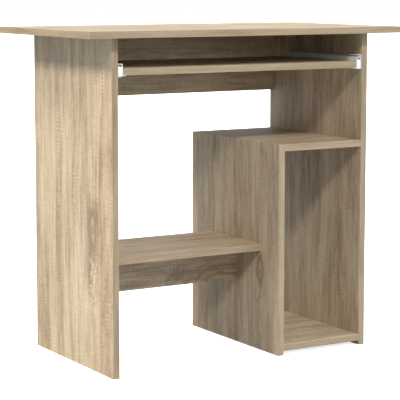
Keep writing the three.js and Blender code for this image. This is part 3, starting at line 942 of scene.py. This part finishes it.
def cam_tree():
    """A cam drum with a groove round it, a cross recess and an arrow notch."""
    tree, given = shape_tree("cam drum", {"Radius": 0.0074, "Depth": 0.0122})
    radius = given["Radius"]
    drum = rod(tree, radius, given["Depth"], sides=40)
    tool = cross(tree, product(tree, radius, 1.15), **DRIVER_SLOT)
    arrow = node(tree, "GeometryNodeMeshCylinder", ARROW, fill_type="NGON").outputs["Mesh"]
    arrow = put(tree, arrow, x=product(tree, radius, 0.78))
    ring = rod(tree, product(tree, radius, 1.2), GROOVE_WIDTH, GROOVE_TOP, sides=40)
    core = rod(tree, product(tree, radius, 0.72), GROOVE_WIDTH + 2 * PAST, GROOVE_TOP + PAST, sides=40)
    shape = combine(tree, "DIFFERENCE", drum, tool, arrow, combine(tree, "DIFFERENCE", ring, core))
    return plant(tree, given, shape, 0.5)


def bolt_tree():
    """A cam bolt along its axis: a plain shank, a collar, a neck and a round head."""
    tree, given = shape_tree("cam bolt", {"Radius": 0.0029, "Length": 0.034, "Grip": 0.010})
    radius = given["Radius"]
    shank = rod(tree, product(tree, radius, 0.80), given["Grip"], sides=16)
    collar = rod(tree, radius, BOLT_COLLAR, top=product(tree, given["Grip"], -1.0), sides=20)
    neck = rod(tree, product(tree, radius, 0.55), given["Length"], sides=16)
    foot = maths(tree, "SUBTRACT", BOLT_HEAD, given["Length"])
    head = rod(tree, product(tree, radius, 0.95), BOLT_HEAD, top=foot, sides=20)
    shape = combine(tree, "UNION", shank, collar, neck, head)
    return plant(tree, given, shape, math.pi)


def node_names(ending):
    """The frame's nodes whose name has this ending, in order."""
    return sorted(name for name in frame["nodes"] if name.endswith(ending))


def cam_way(name):
    """A cam faces inwards on a side panel and backwards on a rail."""
    if name.startswith("desktop"):
        return INWARDS[name.split("_")[1]]
    return BACKWARDS


def bolt_way(name):
    """A bolt points away from its drum, to the board that it is driven into."""
    if name.startswith("desktop"):
        return UPWARDS
    return OUTWARDS["left" if "_left_" in name else "right"]


cam_names = node_names("_cam")
cams = make_parts("cam_drums", cam_tree(), places_of(cam_names, cam_way), {}, casting)
round_edges(cams, 0.25 * MILLIMETRE)
fit(cams, casting, "zinc_casting", *cam_names)

# %% [markdown]
# The drums in the side panels show from the user's seat, so each gets a cover: a disc of the same
# printed face, thin as paper and stuck on. From a step away it disappears, and close by it is a faint
# circle.

# %% Cover discs
def cover_tree():
    """A thin disc that lies on the face at the origin."""
    tree, given = shape_tree("cover disc", {"Radius": 0.0092, "Thickness": 0.00025})
    disc = rod(tree, given["Radius"], given["Thickness"], top=given["Thickness"], sides=48)
    return plant(tree, given, disc, 0.0)


covered = [n for n in cam_names if n.startswith("desktop")]
cover_low, cover_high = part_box("left_side_panel")[0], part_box("right_side_panel")[1]
cover_oak = oak_material("cover disc oak", cover_low, cover_high, number=3, turn=UPRIGHT, Flecks=0.3)
covers = make_parts("cam_cover_discs", cover_tree(), places_of(covered, cam_way), {}, cover_oak)
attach(covers, "frame")

# %% Bolts
bolt_names = node_names("_bolt")
bolt_low, bolt_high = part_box(bolt_names[0])
bolt_length = max(bolt_high - bolt_low)
bolt_places = places_of(bolt_names, bolt_way)
bolts = make_parts("cam_bolts", bolt_tree(), bolt_places, {"Length": bolt_length}, plated)
round_edges(bolts, 0.15 * MILLIMETRE, segments=1)
fit(bolts, plated, "plated_steel", *bolt_names)

# %% [markdown]
# ## Dowels
#
# Beech dowels locate the boards that the cams don't hold. A fluted dowel lets the air and the glue out
# of its blind hole, so shallow grooves run along it.

# %% Dowels
FLUTES = 8
FLUTE_RADIUS = 0.5 * MILLIMETRE
THROUGH = dict(length=40 * MILLIMETRE, top=5 * MILLIMETRE)


def dowel_tree():
    """A fluted dowel that hangs down from its end."""
    tree, given = shape_tree("fluted dowel", {"Radius": 0.004, "Length": 0.030})
    radius = given["Radius"]
    peg = rod(tree, radius, given["Length"], sides=32)
    flutes = []
    for index in range(FLUTES):
        angle = index * 2 * math.pi / FLUTES
        flute = rod(tree, FLUTE_RADIUS, **THROUGH, sides=8)
        x = product(tree, radius, math.cos(angle))
        flutes.append(put(tree, flute, x, product(tree, radius, math.sin(angle))))
    return plant(tree, given, combine(tree, "DIFFERENCE", peg, *flutes), math.pi)


dowel_names = node_names("_dowel")
dowel_places = places_of(dowel_names, lambda name: TOWARDS_RIGHT)
dowels = make_parts("beech_dowels", dowel_tree(), dowel_places, {}, beech)
round_edges(dowels, 0.3 * MILLIMETRE, angle=60.0)
fit(dowels, beech, "beech", *dowel_names)

# %% [markdown]
# ## Rollers and rivets
#
# Each wheel turns on a rivet. The wheel is moulded: a tyre, a thinner web and a hub. Each one is a body
# of its own, because it rolls as the tray moves, so the same tree is used four times.

# %% Rollers and rivets
WEB_RECESS = 1.3 * MILLIMETRE


def roller_tree():
    """A moulded wheel whose outer face is at the origin."""
    sizes = {"Radius": 0.012, "Width": 0.007, "Bore": 0.00257}
    tree, given = shape_tree("moulded wheel", sizes)
    radius = given["Radius"]
    tyre = rod(tree, radius, given["Width"], sides=64)
    bore = rod(tree, given["Bore"], **THROUGH, sides=32)
    recesses = []
    for top in (PAST, maths(tree, "SUBTRACT", WEB_RECESS, given["Width"])):
        ring = rod(tree, product(tree, radius, 0.78), WEB_RECESS + PAST, top=top, sides=48)
        hub_top = maths(tree, "ADD", top, PAST)
        hub = rod(tree, product(tree, radius, 0.42), WEB_RECESS + 3 * PAST, top=hub_top, sides=40)
        recesses.append(combine(tree, "DIFFERENCE", ring, hub))
    shape = combine(tree, "DIFFERENCE", tyre, bore, *recesses)
    return plant(tree, given, shape, 0.8)


def rivet_tree():
    """A rivet with a flat factory head and a shank."""
    sizes = {"Shank": 0.0025, "Head": 0.0038, "Length": 0.010, "Crown": 0.0008}
    tree, given = shape_tree("wheel rivet", sizes)
    shank = rod(tree, given["Shank"], given["Length"], sides=32)
    head = taper(tree, product(tree, given["Head"], 0.80), given["Head"], given["Crown"], sides=32)
    return plant(tree, given, combine(tree, "UNION", shank, head), math.pi)


wheels = roller_tree()
rivets = rivet_tree()
for hand in HANDS:
    for end in ("front", "rear"):
        name = f"{hand}_{end}_roller"
        low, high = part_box(name)
        sizes = {"Radius": (high.z - low.z) / 2, "Width": high.x - low.x}
        way = INWARDS[hand] if end == "front" else OUTWARDS[hand]
        wheel = make_parts(f"{hand}_{end}_wheel", wheels, [(face_centre(name, way), way)], sizes, nylon)
        round_edges(wheel, 0.35 * MILLIMETRE, segments=3)
        fit(wheel, nylon, "nylon", name)

for end, ways in (("front", INWARDS), ("rear", OUTWARDS)):
    names = [f"{hand}_{end}_rivet" for hand in HANDS]
    low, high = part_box(names[0])
    sizes = {"Head": (high.z - low.z) / 2, "Length": high.x - low.x}
    places = places_of(names, lambda name: hand_way(name, ways))
    pins = make_parts(f"{end}_rivets", rivets, places, sizes, plated)
    round_edges(pins, 0.2 * MILLIMETRE)
    fit(pins, plated, "plated_steel", *names)

# %% [markdown]
# ## Floor and light
#
# The desk stands on a plain pale floor that runs to the horizon. The sky is brighter in front, on the
# right and overhead than behind and on the left, as in a room with white screens round the set. A warm,
# soft key comes from the left. A weaker lamp in front, above eye height, draws the slanting shadows
# inside the desk. The backdrop and the floor look white, but they light the desk less than they seem to:
# the Light Path node gives the eye one value and the bounced light another.

# %% Floor
FLOOR_REACH = 40.0
FLOOR_BOUNCE = paint(151, 156, 161)
FLOOR_GLOW = paint(228, 228, 228)


def floor_material():
    """Pale studio floor with a very faint tone and gloss variation."""
    material, tree, shader, place = new_material("pale floor")
    touch = use(tree, handling, Place=place, Amount=0.03)
    colour = blend(tree, product(tree, touch["Dirt"], 0.04), paint(250, 250, 250), paint(236, 236, 236))
    seen = node(tree, "ShaderNodeLightPath").outputs["Is Camera Ray"]
    feed(tree, shader.inputs["Base Color"], blend(tree, seen, FLOOR_BOUNCE, colour))
    feed(tree, shader.inputs["Emission Color"], blend(tree, seen, paint(0, 0, 0), FLOOR_GLOW))
    shader.inputs["Emission Strength"].default_value = 1.0
    feed(tree, shader.inputs["Roughness"], total(tree, 0.75, touch["Roughness"]))
    return material


work = bmesh.new()
bmesh.ops.create_circle(work, cap_ends=True, segments=64, radius=FLOOR_REACH)
floor_mesh = bpy.data.meshes.new("floor")
work.to_mesh(floor_mesh)
work.free()
floor_mesh.materials.append(floor_material())
floor = new_object("floor", floor_mesh)

# %% Light
SIDE_SKY = (0.42, 0.44, 0.47, 1.0)
FRONT_SKY = (1.04, 1.11, 1.21, 1.0)
FRONT_OF_SKY = (0.66, -0.75, 0.0)
ZENITH_GAIN = 0.6
BACKDROP = (1.0, 1.0, 1.0, 1.0)
KEY_STRENGTH = 3.5
KEY_WAY = Vector((0.64, -0.02, -0.68))
KEY_SOFTNESS = math.radians(13.0)
KEY_COLOUR = (1.0, 0.96, 0.89)
FRONT_STRENGTH = 2.1
FRONT_WAY = Vector((0.28, 0.73, -0.61))
FRONT_SOFTNESS = math.radians(8.0)

world = bpy.data.worlds.new("studio")
world.use_nodes = True
sky = world.node_tree
seen = node(sky, "ShaderNodeLightPath").outputs["Is Camera Ray"]
way_out = sky.nodes.new("ShaderNodeTexCoord").outputs["Generated"]
frontal = vector_maths(sky, "DOT_PRODUCT", way_out, FRONT_OF_SKY)
lit_sky = blend(sky, smooth(sky, frontal, -0.1, 0.8), SIDE_SKY, FRONT_SKY)
unseen = maths(sky, "SUBTRACT", 1.0, seen)
overhead = smooth(sky, split(sky, way_out)["Z"], 0.3, 1.0)
strength = total(sky, 1.0, product(sky, overhead, unseen, ZENITH_GAIN))
feed(sky, sky.nodes["Background"].inputs["Color"], blend(sky, seen, lit_sky, BACKDROP))
feed(sky, sky.nodes["Background"].inputs["Strength"], strength)
bpy.context.scene.world = world


def sun(name, way, strength, softness, colour=(1.0, 1.0, 1.0)):
    """A soft parallel light that shines the given way."""
    data = bpy.data.lights.new(name, "SUN")
    data.energy = strength
    data.angle = softness
    data.color = colour
    lamp = new_object(name, data)
    lamp.rotation_mode = "QUATERNION"
    lamp.rotation_quaternion = way.to_track_quat("-Z", "Y")


sun("key", KEY_WAY, KEY_STRENGTH, KEY_SOFTNESS, KEY_COLOUR)
sun("front", FRONT_WAY, FRONT_STRENGTH, FRONT_SOFTNESS)
bpy.context.scene.view_settings.view_transform = "Standard"
bpy.context.scene.view_settings.look = "None"
